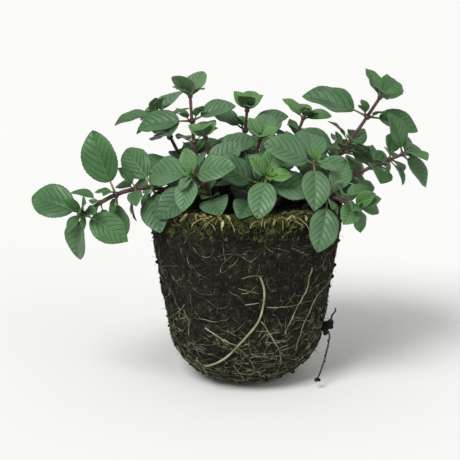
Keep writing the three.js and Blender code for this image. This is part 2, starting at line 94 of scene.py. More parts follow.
# %% A finish and its short ways to add nodes
class Finish:
    def __init__(self, name, roughness):
        self.material = bpy.data.materials.new(name)
        self.material.use_nodes = True
        self.tree = self.material.node_tree
        self.shader = self.tree.nodes["Principled BSDF"]
        self.shader.inputs["Roughness"].default_value = roughness

    def add(self, kind, **settings):
        made = self.tree.nodes.new(kind)
        for name, value in settings.items():
            setattr(made, name, value)
        return made

    def feed(self, socket, value):
        if isinstance(value, bpy.types.NodeSocket):
            self.tree.links.new(value, socket)
        else:
            socket.default_value = value

    def calc(self, operation, *values):
        made = self.add("ShaderNodeMath", operation=operation)
        for socket, value in zip(made.inputs, values):
            self.feed(socket, value)
        return made.outputs[0]

    def span(self, value, low, high, to_low=0.0, to_high=1.0):
        made = self.add("ShaderNodeMapRange", interpolation_type="SMOOTHSTEP")
        for socket, number in zip(made.inputs, (value, low, high, to_low, to_high)):
            self.feed(socket, number)
        return made.outputs[0]

    def blend(self, amount, first, second, way="MIX"):
        made = self.add("ShaderNodeMix", data_type="RGBA", blend_type=way)
        for index, value in ((0, amount), (6, first), (7, second)):
            if isinstance(value, tuple):
                value = (*value, 1.0)
            self.feed(made.inputs[index], value)
        return made.outputs[2]

    def noise(self, scale, detail=3.0, stretch=None, turn=(0.0, 0.0, 0.0)):
        vector = self.add("ShaderNodeTexCoord").outputs["Object"]
        if stretch:
            mapping = self.add("ShaderNodeMapping")
            mapping.inputs["Scale"].default_value = stretch
            mapping.inputs["Rotation"].default_value = turn
            self.feed(mapping.inputs["Vector"], vector)
            vector = mapping.outputs[0]
        made = self.add("ShaderNodeTexNoise")
        self.feed(made.inputs["Vector"], vector)
        self.feed(made.inputs["Scale"], scale)
        self.feed(made.inputs["Detail"], detail)
        return made.outputs["Fac"]

    def attribute(self, name):
        return self.add("ShaderNodeAttribute", attribute_name=name).outputs["Fac"]

    def colour(self, value):
        self.feed(self.shader.inputs["Base Color"], value)

    def bump(self, height, distance, strength=1.0):
        made = self.add("ShaderNodeBump")
        self.feed(made.inputs["Strength"], strength)
        self.feed(made.inputs["Distance"], distance)
        self.feed(made.inputs["Height"], height)
        self.feed(self.shader.inputs["Normal"], made.outputs[0])


# %% [markdown]
# ## The leaf finish
#
# A peppermint leaf has a midrib and five to seven pairs of side veins, which leave it at about 45 degrees and curve
# forward to the margin. On its upper side the veins are sunk and the leaf swells between them, and the sunk veins and
# the bands along them are painted darker as painted shade. The veins are drawn from the leaf's own map: u runs from
# the base of the blade to its tip, and v runs across it, in the same units, so the veins keep their shape on every
# leaf. Leaves that hang free at the sides are a fuller green than those that stand close together in the middle. The
# same curve later shapes the mesh. A number called age, stored on the mesh, takes the colour from the dark green of
# an old leaf to the yellow-green of a growing tip.

# %% Where the side veins run
VEIN_SPACING = 0.162  # from one side vein to the next, over the blade's length
VEIN_FORWARD = 0.80  # how far a side vein runs forward for each step outwards
VEIN_CURVE = 1.7  # how much more it turns forward on its way


def vein_phase(u, across):
    """Whole numbers are on a side vein, and halves are midway between two."""
    out = abs(across)
    side = 0.35 if across > 0 else 0.0
    return (u - VEIN_FORWARD * out - VEIN_CURVE * out * out) / VEIN_SPACING + side


# %% The leaf finish
def leaf_finish():
    f = Finish("peppermint_leaf", 0.46)
    uv = f.add("ShaderNodeUVMap", uv_map="blade").outputs[0]
    parts = f.add("ShaderNodeSeparateXYZ")
    f.feed(parts.inputs[0], uv)
    u = parts.outputs[0]
    across = f.calc("SUBTRACT", parts.outputs[1], 0.5)
    out = f.calc("ABSOLUTE", across)
    side = f.calc("MULTIPLY", f.calc("GREATER_THAN", across, 0.0), 0.35)
    forward = f.calc("MULTIPLY_ADD", f.calc("MULTIPLY", out, out), VEIN_CURVE, f.calc("MULTIPLY", out, VEIN_FORWARD))
    phase = f.calc("ADD", f.calc("DIVIDE", f.calc("SUBTRACT", u, forward), VEIN_SPACING), side)
    nearness = f.calc("ABSOLUTE", f.calc("SUBTRACT", f.calc("FRACT", phase), 0.5))
    edge = f.attribute("edge")
    fade = f.span(edge, 0.6, 0.95, 1.0, 0.1)
    # Masks for the sunk veins: they shape the bump, and in the colour they carry painted shade.
    vein_groove_and_shade = f.calc("MULTIPLY", f.span(nearness, 0.43, 0.49), fade)
    valley_and_shade = f.calc("MULTIPLY", f.span(nearness, 0.30, 0.49), fade)
    midrib = f.span(out, 0.003, 0.013, 1.0, 0.0)
    net = f.add("ShaderNodeTexVoronoi", feature="DISTANCE_TO_EDGE")
    f.feed(net.inputs["Vector"], uv)
    f.feed(net.inputs["Scale"], 40.0)
    small_vein_net_and_shade = f.span(net.outputs["Distance"], 0.0, 0.30, 1.0, 0.0)

    age = f.attribute("age")
    old = f.blend(f.span(age, 0.0, 0.45), (0.036, 0.096, 0.038), (0.112, 0.225, 0.104))
    green = f.blend(f.span(age, 0.45, 1.0), old, (0.130, 0.330, 0.045))
    green = f.blend(f.span(f.noise(16.0, 1.0), 0.45, 0.65, 0.0, 0.35), green, (0.055, 0.170, 0.060))
    green = f.blend(f.span(f.noise(150.0, 2.0), 0.35, 0.7, 0.0, 0.45), green, (0.150, 0.225, 0.130))
    place = f.add("ShaderNodeSeparateXYZ")
    f.feed(place.inputs[0], f.add("ShaderNodeTexCoord").outputs["Object"])
    free = f.span(f.calc("ABSOLUTE", place.outputs[0]), 0.040, 0.062, 0.0, 0.80)
    full = f.blend(f.span(f.noise(60.0, 2.0), 0.3, 0.7), (0.022, 0.085, 0.018), (0.066, 0.175, 0.050))
    green = f.blend(free, green, full)
    green = f.blend(f.span(f.noise(1500.0, 2.0), 0.3, 0.7, 0.0, 0.20), green, (0.045, 0.095, 0.040))
    # Painted shade: the bands along the side veins, the sunk side veins and the net of small veins are painted darker,
    # as shade in their grooves.
    green = f.blend(f.calc("MULTIPLY", valley_and_shade, 0.26), green, (0.030, 0.080, 0.034))
    green = f.blend(f.calc("MULTIPLY", vein_groove_and_shade, 0.60), green, (0.016, 0.048, 0.022))
    green = f.blend(f.calc("MULTIPLY", small_vein_net_and_shade, 0.18), green, (0.030, 0.075, 0.030))
    green = f.blend(f.calc("MULTIPLY", midrib, f.span(u, 0.0, 0.75, 0.80, 0.10)), green, (0.190, 0.300, 0.110))
    green = f.blend(f.span(edge, 0.92, 1.0, 0.0, 0.35), green, (0.045, 0.070, 0.032))
    under = f.attribute("under")
    f.colour(f.blend(f.calc("MULTIPLY", under, 0.7), green, (0.150, 0.225, 0.130)))

    sunk = f.calc("ADD", f.calc("MULTIPLY", vein_groove_and_shade, 0.5), f.calc("MULTIPLY", small_vein_net_and_shade, 0.10))
    sunk = f.calc("ADD", sunk, f.calc("MULTIPLY", valley_and_shade, 0.5))
    f.bump(f.calc("SUBTRACT", 1.0, f.calc("ADD", sunk, f.calc("MULTIPLY", midrib, 0.6))), 0.00022)
    shine = f.span(f.noise(420.0, 3.0), 0.3, 0.7, 0.34, 0.50)
    f.feed(f.shader.inputs["Roughness"], shine)
    f.shader.inputs["Specular IOR Level"].default_value = 0.32
    return f.material


LEAF = leaf_finish()
print("finish", LEAF.name)

# %% [markdown]
# ## Finishes for stems, leaf stalks and buds
#
# Peppermint's stems are purple-brown where they see the light and greener where they don't. The stalk of a leaf is
# yellow-green, with the stem's purple near the node. The stem has fine ridges that run along it, and the stalk a fine
# uneven surface.


# %% Stem and stalk finishes
def stem_finish():
    f = Finish("purple_stem", 0.42)
    patches = f.noise(110.0, 3.0)
    tint = f.blend(f.span(patches, 0.38, 0.68), (0.062, 0.024, 0.026), (0.120, 0.062, 0.048))
    tint = f.blend(f.span(f.noise(60.0, 2.0), 0.52, 0.75, 0.0, 0.55), tint, (0.085, 0.110, 0.040))
    streaks = f.noise(1400.0, 2.0, stretch=(1.0, 1.0, 0.12))
    f.colour(f.blend(f.span(streaks, 0.4, 0.65, 0.0, 0.4), tint, (0.030, 0.014, 0.013)))
    f.bump(streaks, 0.00012)
    return f.material


def stalk_finish():
    f = Finish("leaf_stalk", 0.45)
    patches = f.noise(130.0, 2.0)
    tint = f.blend(f.span(patches, 0.42, 0.62), (0.190, 0.270, 0.075), (0.110, 0.150, 0.050))
    purple = f.span(f.attribute("edge"), 0.1, 0.9, 0.75, 0.0)
    tint = f.blend(purple, tint, (0.100, 0.050, 0.042))
    f.colour(f.blend(f.span(f.noise(1300.0, 2.0), 0.4, 0.7, 0.0, 0.25), tint, (0.060, 0.060, 0.025)))
    f.bump(f.noise(1800.0, 2.0), 0.0001)
    return f.material


STEM = stem_finish()
STALK = stalk_finish()
print("finishes", STEM.name, STALK.name)

# %% [markdown]
# ## Following a solid ring by ring
#
# In the frame, a stem or a leaf is a row of rings with four corners each, from one end to the other. The corners
# that share edges with one ring and haven't been seen yet are the next ring. So a walk from the point of a leaf, or
# from the foot of a stem, gives its middle line, its width and the way it faces, and no list of places is needed.

# %% Walk the rings of a solid


def merged(name):
    """The frame's node as a bmesh whose triangles share their corners."""
    bm = bmesh.new()
    bm.from_mesh(nodes[name].data)
    bmesh.ops.remove_doubles(bm, verts=bm.verts, dist=1e-6)
    return bm


def walk(start, most):
    """Rings of four corners, each next to the one before."""
    rings, seen, ring = [], set(start), set(start)
    while len(rings) < most:
        ring = {edge.other_vert(v) for v in ring for edge in v.link_edges} - seen
        if len(ring) != 4:
            break
        seen |= ring
        rings.append([v.co.copy() for v in ring])
    return rings, seen


def middle(points):
    return sum(points, Vector()) / len(points)


def stem_line(name):
    """The middle of a stem, from its planted foot to its end, and its radius at the end."""
    bm = merged(name)
    foot = sorted(bm.verts, key=lambda v: v.co.z)[:4]
    rings, _ = walk(foot, 99)
    line = [middle([v.co for v in foot])] + [middle(ring) for ring in rings]
    radius = (rings[-1][0] - line[-1]).length
    bm.free()
    return line, radius


STEMS = {name: stem_line(name) for name in nodes if name.startswith("stem_")}
STEM_LINES = {name: line for name, (line, _) in STEMS.items()}
lengths = [sum((b - a).length for a, b in zip(line, line[1:])) for line in STEM_LINES.values()]
print(len(STEM_LINES), "stems,", round(min(lengths) / MM), "to", round(max(lengths) / MM), "mm long")

# %% Read a leaf's place, width and facing from its rings
RING_SHARES = (0.86, 0.66, 0.45, 0.24, 0.07, 0.0)  # where a leaf's rings lie, from its point to its stalk


def read_leaf(tip, rings):
    centres, halves, across, facing = [tip], [], Vector(), Vector()
    for ring in rings:
        pairs = [(a, b) for i, a in enumerate(ring) for b in ring[i + 1 :]]
        left, right = max(pairs, key=lambda pair: (pair[0] - pair[1]).length)
        rib = middle([p for p in ring if p is not left and p is not right])
        centres.append(rib)
        halves.append((left - right).length / 2)
        if len(halves) <= 4:
            side = left - right
            across += side if side.dot(across) >= 0 else -side
            facing += (left + right) / 2 - rib
    shares = [1.0, *RING_SHARES[: len(rings)]]
    line = np.polyfit(shares, [tuple(c) for c in centres], 3)
    length = sum((b - a).length for a, b in zip(centres, centres[1:])) / (1 - shares[-1])
    return {
        "line": line,
        "length": length,
        "half": max(halves[1:4]),
        "across": across.normalized(),
        "facing": facing.normalized(),
        "rise": facing.length / 4,
    }


def read_leaves(name, count):
    """The leaves of one node of the frame, and the hub that joins them."""
    bm = merged(name)
    found, used = [], set()
    for v in bm.verts:
        if len(v.link_edges) != 4 or v in used:
            continue
        rings, seen = walk([v], 6)
        if len(rings) >= 4:
            found.append((len(rings), read_leaf(v.co.copy(), rings), seen))
            used |= seen
    found.sort(key=lambda item: -item[1]["length"])
    kept = found[:count]
    taken = set().union(*[seen for _, _, seen in kept])
    hub = middle([v.co for v in bm.verts if v not in taken])
    bm.free()
    return [leaf for _, leaf, _ in kept], hub


GROUPS = {n: 2 for n in nodes if n.startswith("leaf_pair_")}
GROUPS.update({n: 4 for n in nodes if n.startswith("tip_")})
LEAVES = {name: read_leaves(name, count) for name, count in GROUPS.items()}
short = [name for name, count in GROUPS.items() if len(LEAVES[name][0]) != count]
all_leaves = [leaf for leaves, _ in LEAVES.values() for leaf in leaves]
print(len(all_leaves), "leaves; nodes with a leaf that couldn't be followed:", short)
print("blades", *[round(f([leaf["length"] for leaf in all_leaves]) / MM, 1) for f in (min, max)], "mm long")

# %% [markdown]
# ## From thin curves to solid stalks
#
# Stalks, roots and fibres are round and thin. A curve object gives such a shape with a radius at each of its points
# and capped ends, and a mesh made from the evaluated curve can then be joined to the leaves it carries.


# %% Tubes along points
def tubes(runs, sides=6):
    """A mesh of round tubes. Each run is (points, radii), in metres."""
    curve = bpy.data.curves.new("tubes", "CURVE")
    curve.dimensions = "3D"
    curve.bevel_depth = MM
    curve.bevel_resolution = (sides - 4) // 2
    curve.use_fill_caps = True
    for points, radii in runs:
        spline = curve.splines.new("POLY")
        spline.points.add(len(points) - 1)
        for point, place, radius in zip(spline.points, points, radii):
            point.co = (*place, 1.0)
            point.radius = radius / MM
    holder = bpy.data.objects.new("tubes", curve)
    bpy.context.scene.collection.objects.link(holder)
    graph = bpy.context.evaluated_depsgraph_get()
    mesh = bpy.data.meshes.new_from_object(holder.evaluated_get(graph))
    bpy.data.objects.remove(holder)
    bpy.data.curves.remove(curve)
    return mesh


def finish_piece(mesh, name, materials, stands_for=()):
    """A piece of the object, smooth shaded and riding on the plant's one body."""
    piece = bpy.data.objects.new(name, mesh)
    bpy.context.scene.collection.objects.link(piece)
    for material in materials:
        mesh.materials.append(material)
    mesh.polygons.foreach_set("use_smooth", [True] * len(mesh.polygons))
    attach(piece, "root")
    if stands_for:
        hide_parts(*stands_for)
    return piece


# %% [markdown]
# ## Fine leaves
#
# Each blade starts as a flat grid of squares. Its columns run from the stalk to the point and its rows across, and
# every corner is moved to its place on a leaf: along the middle line that was read from the frame, out to an oval
# outline with fine teeth, and up or down for the fold along the midrib, the swellings between the veins and a slow
# wave of the margin. The sheet then gets its thickness, so it has a paler underside and a real edge.

# %% The shape of one blade
BLADE_COLUMNS, BLADE_ROWS = 54, 16
BLADE_THICKNESS = 0.32 * MM
TEETH = 13.5  # along each margin
TOOTH_DEPTH = 0.045
QUILTING = 0.0085  # how far the leaf swells between its veins, over its length
GROOVE = 0.011  # how deep the midrib lies, over the blade's length


def outline(u, point):
    """The half width of a blade 1 wide, whose end is the sharper the larger point is."""
    return 0.5 * max(0.0, math.sin(math.pi * u**0.88)) ** (0.64 + point * u * u)


def axes_at(leaf, u):
    """The middle line's place at u, and the ways along it, across it and out of the leaf's upper side."""
    powers = np.array([u**3, u**2, u, 1.0])
    slopes = np.array([3 * u**2, 2 * u, 1.0, 0.0])
    centre = Vector(powers @ leaf["line"])
    along = Vector(slopes @ leaf["line"]).normalized()
    across = (leaf["across"] - along * leaf["across"].dot(along)).normalized()
    facing = across.cross(along)
    if facing.dot(leaf["facing"]) < 0:
        facing = -facing
    return centre, along, across, facing


def shape_blade(leaf, u, v, habit):
    """The place of a blade's corner: u runs from stalk to point, v from one margin to the other."""
    centre, along, across, facing = axes_at(leaf, u)
    tooth = 1 - TOOTH_DEPTH * ((u * TEETH) % 1.0) if 0.06 < u < 0.97 else 1 - TOOTH_DEPTH / 2
    half = 2 * leaf["half"] * outline(u, habit["point"]) * (tooth if abs(v) > 0.99 else 1.0)
    out, length = abs(v), leaf["length"]
    across_share = v * half / length
    fold = half * (0.42 * out - 0.19 * out * out)
    phase = vein_phase(u, across_share)
    swell = 1 - math.exp(-(((phase - round(phase)) / 0.17) ** 2))
    quiet = min(1.0, out / 0.25) * (1 - out**5) * min(1.0, (1 - u) / 0.12)
    quilt = QUILTING * length * swell * quiet
    groove = GROOVE * length * math.exp(-((across_share / 0.014) ** 2)) * (1 - u)
    wave = habit["wave"] * out * out * math.sin(2 * math.pi * (habit["waves"] * u + habit["start"]) + (v > 0) * 1.9)
    roll = habit["twist"] * (u - 0.35) * v * half
    return centre + across * (v * half) + facing * (fold + quilt - groove + wave * half + roll)


def habit_of(point=0.22):
    """What sets one leaf apart from another."""
    return {
        "point": point,
        "wave": chance.uniform(0.03, 0.10),
        "waves": chance.uniform(1.2, 2.4),
        "start": chance.random(),
        "twist": chance.uniform(-0.22, 0.22),
    }


# %% A blade as a thin solid in a bmesh
def new_foliage():
    bm = bmesh.new()
    layers = {name: bm.verts.layers.float.new(name) for name in ("age", "edge", "under")}
    layers["uv"] = bm.loops.layers.uv.new("blade")
    return bm, layers


def add_blade(bm, layers, leaf, age, habit, columns=BLADE_COLUMNS, rows=BLADE_ROWS):
    top = bmesh.ops.create_grid(bm, x_segments=columns, y_segments=rows, size=1.0)["verts"]
    reach = max(v.co.x for v in top)
    places = {}
    for vert in top:
        u = min(1.0, max(0.0, (vert.co.x / reach + 1) / 2))
        v = vert.co.y / reach
        places[vert] = (u, v)
        vert.co = shape_blade(leaf, u, v, habit)
        vert[layers["age"]] = age
        vert[layers["edge"]] = abs(v)
    faces = list({face for vert in top for face in vert.link_faces})
    for face in faces:
        for loop in face.loops:
            u, v = places[loop.vert]
            half = 2 * leaf["half"] * outline(u, habit["point"])
            loop[layers["uv"]].uv = (u, 0.5 + v * half / leaf["length"])
    known = set(bm.verts)
    facing = leaf["facing"]
    bm.normal_update()
    bmesh.ops.solidify(bm, geom=faces, thickness=BLADE_THICKNESS)
    lower = [v for v in bm.verts if v not in known]
    offset = middle([v.co for v in lower]) - middle([v.co for v in top])
    for vert in lower if offset.dot(facing) < 0 else top:
        vert[layers["under"]] = 1.0


# %% [markdown]
# ## Stalks, nodes and young leaves
#
# A leaf's stalk leaves the stem at a node, bends into the midrib, and shows as a ridge under the blade. A growing tip
# ends in a few leaves that are still small, upright and bright.

# %% Stalks and young leaves
STALK_RADII = (0.80, 0.62, 0.52, 0.48, 0.44)  # in mm, from the node to the blade
RIB_RADII = (0.40, 0.34, 0.27, 0.20, 0.12)  # in mm, under the blade


def stalk_run(leaf, hub):
    start, along, _, _ = axes_at(leaf, 0.0)
    reach = (start - hub).length
    out = (start - hub).normalized()
    points = []
    for i, share in enumerate((0.0, 0.3, 0.55, 0.8, 1.0)):
        early = hub + out * reach * share
        late = start - along * reach * (1 - share)
        points.append(early.lerp(late, share * share * 0.6 if share < 1 else 1.0))
    radii = [r * MM for r in STALK_RADII]
    for u, radius in zip((0.1, 0.25, 0.42, 0.6, 0.78), RIB_RADII):
        centre, _, _, facing = axes_at(leaf, u)
        points.append(centre - facing * (0.5 * radius * MM + GROOVE * leaf["length"] * 0.7))
        radii.append(radius * MM)
    return points, radii


def small_leaf(hub, way, facing, length, width, bend):
    """A leaf that the frame doesn't hold, in the same terms as one read from it."""
    way = way.normalized()
    facing = (facing - way * facing.dot(way)).normalized()
    across = way.cross(facing)
    turns = [math.radians(bend) * share for share in (0.0, 0.33, 0.67, 1.0)]
    centres = [hub + way * length * 0.22]
    for turn in turns[1:]:
        step = way * math.cos(turn) - facing * math.sin(turn)
        centres.append(centres[-1] + step * length * 0.26)
    line = np.polyfit((0.0, 0.33, 0.67, 1.0), [tuple(c) for c in centres], 3)
    return {"line": line, "length": length * 0.78, "half": width / 2, "across": across, "facing": facing}


def stem_way(name, hub):
    """The way the stem grows at a hub."""
    line = STEM_LINES[name]
    steps = [(abs((hub - (a + b) / 2).length - (b - a).length / 2), a, b) for a, b in zip(line, line[1:])]
    _, a, b = min(steps, key=lambda step: step[0])
    return (b - a).normalized()


def shoot_of(name):
    """The stem that carries a node's leaves."""
    shoot = name.removeprefix("leaf_pair_").removeprefix("tip_")
    return "stem_" + (shoot if "stem_" + shoot in nodes else shoot.rsplit("_", 1)[0])


# %% Make the foliage of one node of the frame
def node_swelling(bm, hub, way, radius):
    turn = UP.rotation_difference(way).to_matrix().to_4x4()
    size = Matrix.Diagonal((radius, radius, radius * 0.95, 1.0))
    place = Matrix.Translation(hub) @ turn @ size
    made = bmesh.ops.create_uvsphere(bm, u_segments=12, v_segments=8, radius=1.0, matrix=place)
    for face in {face for v in made["verts"] for face in v.link_faces}:
        face.material_index = 2


def make_foliage(name):
    leaves, hub = LEAVES[name]
    is_tip = name.startswith("tip_")
    way = stem_way(shoot_of(name), hub)
    bm, layers = new_foliage()
    runs = []
    for rank, leaf in enumerate(leaves):
        age = 1.18 - leaf["length"] / (26 * MM) - (0.0 if is_tip else 0.16) + chance.uniform(-0.10, 0.10)
        young = is_tip and rank > 1
        add_blade(bm, layers, leaf, min(1.0, max(0.0, age)), habit_of(0.36 if young else 0.13))
        runs.append(stalk_run(leaf, hub))
    if is_tip:
        line, thick = STEMS[shoot_of(name)]
        reach = [line[-1].lerp(hub, share) for share in (-0.15, 0.3, 0.7, 1.1)]
        stem_end = tubes([(reach, [thick * 0.80, thick * 0.78, thick * 0.74, thick * 0.6])], sides=10)
        stem_end.polygons.foreach_set("material_index", [2] * len(stem_end.polygons))
        bm.from_mesh(stem_end)
        spin_start = chance.random() * 6.28
        for i in range(6):
            angle = spin_start + math.pi / 2 * i + (0.8 if i > 3 else 0.0)
            side = Quaternion(way, angle) @ way.orthogonal().normalized()
            lean = 0.75 if i < 2 else 0.5 if i < 4 else 0.25
            length = (8.0 if i < 2 else 6.0 if i < 4 else 4.2) * MM * chance.uniform(0.85, 1.1)
            bud = small_leaf(hub, way + side * lean, way - side, length, length * 0.46, 30)
            add_blade(bm, layers, bud, chance.uniform(0.85, 1.0), habit_of(0.7), 12, 6)
    stalks = tubes(runs, sides=8)
    stalks.polygons.foreach_set("material_index", [1] * len(stalks.polygons))
    before = len(bm.verts)
    bm.from_mesh(stalks)
    bm.verts.ensure_lookup_table()
    for vert in bm.verts[before:]:
        vert[layers["edge"]] = min(1.0, (vert.co - hub).length / (6 * MM))
    node_swelling(bm, hub, way, (1.35 if is_tip else 1.75) * MM)
    bmesh.ops.recalc_face_normals(bm, faces=bm.faces)
    mesh = bpy.data.meshes.new(name)
    bm.to_mesh(mesh)
    bm.free()
    piece_name = name.replace("leaf_pair_", "leaves_").replace("tip_", "growing_tip_")
    return finish_piece(mesh, piece_name, [LEAF, STALK, STEM], [name])


foliage = [make_foliage(name) for name in sorted(LEAVES)]
print(len(foliage), "leafy pieces,", sum(len(piece.data.polygons) for piece in foliage), "faces")

# %% [markdown]
# ## Side shoots
#
# In the angle between each big leaf and the stem, and at small nodes between the big ones, peppermint grows pairs of
# small leaves. They fill the plant, so they go wherever there is room: every small leaf is tried at several lengths,
# longest first, and the first that stays clear of the frame's solids and of the other small leaves is kept.


# %% Is there room for a small leaf?
def tree_of_everything():
    places, faces = [], []
    for name in sorted(nodes):
        mesh = nodes[name].data
        faces += [[len(places) + i for i in face.vertices] for face in mesh.polygons]
        places += [v.co.copy() for v in mesh.vertices]
    return BVHTree.FromPolygons(places, faces)


CROWD = tree_of_everything()
CLEARANCE = 1.1 * MM
taken_cells = set()


def has_room(leaf):
    spots = []
    for u in (0.4, 0.7, 1.0):
        centre, _, across, _ = axes_at(leaf, u)
        half = across * leaf["half"] * 2 * outline(u, 0.5)
        spots += [centre, centre + half, centre - half]
    if any(CROWD.find_nearest(spot)[3] < CLEARANCE for spot in spots):
        return False
    cells = {tuple(round(value / (2.5 * CLEARANCE)) for value in spot) for spot in spots}
    if cells & taken_cells:
        return False
    taken_cells.update(cells)
    return True


# %% Grow the side shoots
SHOOT_LENGTHS = (15.0, 12.5, 10.5, 8.5, 7.0, 5.5)  # in mm, tried in this order


def grow_leaf(bm, layers, runs, place, lean, way, longest):
    """One small leaf that leans away from a node, if there is room for it."""
    for length in SHOOT_LENGTHS:
        if length > longest:
            continue
        size = length * MM * chance.uniform(0.95, 1.08)
        facing = way * 0.5 + UP * 0.8 + chance.uniform(-0.3, 0.3) * lean.cross(UP)
        leaf = small_leaf(place, lean, facing, size, size * chance.uniform(0.50, 0.60), chance.uniform(12, 40))
        if has_room(leaf):
            columns, rows = (16, 6) if length > 9 else (10, 4)
            age = 0.95 - length / 30 + chance.uniform(-0.1, 0.1)
            add_blade(bm, layers, leaf, age, habit_of(0.26), columns, rows)
            runs.append(([place, axes_at(leaf, 0.0)[0], axes_at(leaf, 0.3)[0] - facing * 0.2 * MM],
                         [0.42 * MM, 0.32 * MM, 0.15 * MM]))
            return 1
    return 0


def bare_nodes(name):
    """Places for small nodes along a stem, between its big ones: (place, way the stem grows)."""
    line = STEM_LINES[name]
    hubs = [hub for key, (_, hub) in LEAVES.items() if shoot_of(key) == name]
    found, run = [], 0.0
    for a, b in zip(line, line[1:]):
        run += (b - a).length
        clear = min((b - hub).length for hub in hubs) > 5.5 * MM
        soil = b.z > ball_top_height + 5 * MM or b.xy.length > 52 * MM
        if clear and soil and all((b - place).length > 7 * MM for place, _ in found):
            found.append((b, (b - a).normalized()))
    return found


ball_top_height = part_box("root_ball")[1].z
bm, layers = new_foliage()
runs, kept = [], 0
for name in sorted(LEAVES):
    leaves, hub = LEAVES[name]
    way = stem_way(shoot_of(name), hub)
    for leaf in leaves if name.startswith("leaf_pair_") else []:
        out = (axes_at(leaf, 0.0)[0] - hub).normalized()
        beside = way.cross(out).normalized()
        for sign in (-1, 1):
            lean = way * 0.9 + out * chance.uniform(0.5, 0.9) + beside * sign * chance.uniform(0.5, 0.9)
            kept += grow_leaf(bm, layers, runs, hub + out * 1.2 * MM, lean, way, 10.5)
    if name.startswith("tip_"):
        side = Quaternion(way, chance.uniform(0, 3)) @ way.orthogonal().normalized()
        for out in (side, -side, side.cross(way), way.cross(side)):
            kept += grow_leaf(bm, layers, runs, hub, way * chance.uniform(0.5, 1.0) + out, way, 12.5)
for name in sorted(STEM_LINES):
    for number, (place, way) in enumerate(bare_nodes(name)):
        side = Quaternion(way, chance.uniform(0, 3) + number * 1.57) @ way.orthogonal().normalized()
        grown = sum(
            grow_leaf(bm, layers, runs, place + out * 0.8 * MM, way * chance.uniform(0.2, 0.7) + out, way, 15.0)
            for out in (side, -side, side.cross(way), way.cross(side))
        )
        kept += grown
        if grown:
            node_swelling(bm, place, way, 1.45 * MM)
stalks = tubes(runs, sides=6)
stalks.polygons.foreach_set("material_index", [1] * len(stalks.polygons))
before = len(bm.verts)
bm.from_mesh(stalks)
bm.verts.ensure_lookup_table()
for vert in bm.verts[before:]:
    vert[layers["edge"]] = 0.8
bmesh.ops.recalc_face_normals(bm, faces=bm.faces)
mesh = bpy.data.meshes.new("side_shoots")
bm.to_mesh(mesh)
bm.free()
side_shoots = finish_piece(mesh, "side_shoots", [LEAF, STALK, STEM])
print(kept, "small leaves,", len(mesh.polygons), "faces")

# %% [markdown]
# ## Stems
#
# Mint stems are square. The frame's stems already have the right run and taper, so they stay, with their triangles
# joined, their long edges rounded by a bevel and smooth shading.

# %% Round the stems' edges
for name in STEM_LINES:
    stem = nodes[name]
    weld = stem.modifiers.new("join", "WELD")
    weld.merge_threshold = 1e-6
    bevel = stem.modifiers.new("round_edges", "BEVEL")
    bevel.width = 0.35 * MM
    bevel.segments = 2
    bevel.limit_method = "ANGLE"
    bevel.angle_limit = math.radians(50)
    stem.data.materials.clear()
    stem.data.materials.append(STEM)
    stem.data.polygons.foreach_set("use_smooth", [True] * len(stem.data.polygons))
print("rounded", len(STEM_LINES), "stems")

# %% [markdown]
# ## The root ball
#
# A root ball keeps the taper of its pot. Close to, it is no smooth cone: it is peat, a mat of short brown fibres
# with clods and dark gaps. So a profile is measured on the frame's ball and spun, and noise at three sizes, from
# clods of 8 mm down to grains of 1 mm, then moves every corner in or out along its normal.

# %% Feel for the frame's ball
BALL_STEPS = 300  # around the ball
PROFILE_STEP = 0.95 * MM
ball_skin = BVHTree.FromBMesh(merged("root_ball"))
ball_low, ball_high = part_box("root_ball")


FEEL_FROM = 0.2  # how far off a ray starts, in metres


def feel(skin, place, way):
    """Where a ray through a place lands on a skin, or the nearest spot on it if the ray just misses."""
    return skin.ray_cast(place - way * FEEL_FROM, way)[0] or skin.find_nearest(place)[0]


def ball_side(turn, height):
    """A place on the ball's side, felt for from outside."""
    way = Vector((math.cos(turn), math.sin(turn), 0.0))
    return feel(ball_skin, way * 45 * MM + UP * height, -way)


def ball_top(out):
    """The highest soil that far from the middle, where no stem is planted."""
    spots = [Vector((out * math.cos(turn), out * math.sin(turn), 0.2)) for turn in np.linspace(0.2, 6.0, 9)]
    drops = [ball_skin.ray_cast(spot, -UP)[0] for spot in spots]
    return max(drop.z for drop in drops if drop)


def ball_profile():
    """Evenly spaced (out, height) pairs, from the middle of the base to the middle of the top."""
    side = [(ball_side(0.5, height).xy.length, height) for height in np.arange(0.05, 83.5, 0.25) * MM]
    top = [(out, ball_top(out)) for out in np.arange(48.0, -0.1, -0.5) * MM]
    rough = np.array([(0.0, 0.0), *side, *top])
    run = np.concatenate([[0.0], np.cumsum(np.hypot(*np.diff(rough, axis=0).T))])
    even = np.linspace(0.0, run[-1], round(run[-1] / PROFILE_STEP))
    return np.column_stack([np.interp(even, run, rough[:, i]) for i in (0, 1)])


# %% Spin the profile and roughen it into peat
def roughness_of_peat(place):
    clods = noise.fractal(place * 120.0, 0.9, 2.1, 2)
    crumbs = noise.fractal(place * 380.0 + Vector((7, 3, 1)), 0.8, 2.2, 3)
    grains = noise.noise(place * 1150.0)
    pits = max(0.0, noise.noise(place * 210.0 + Vector((2, 9, 4))) - 0.25)
    return (0.75 * clods + 0.60 * crumbs + 0.22 * grains - 2.2 * pits) * MM


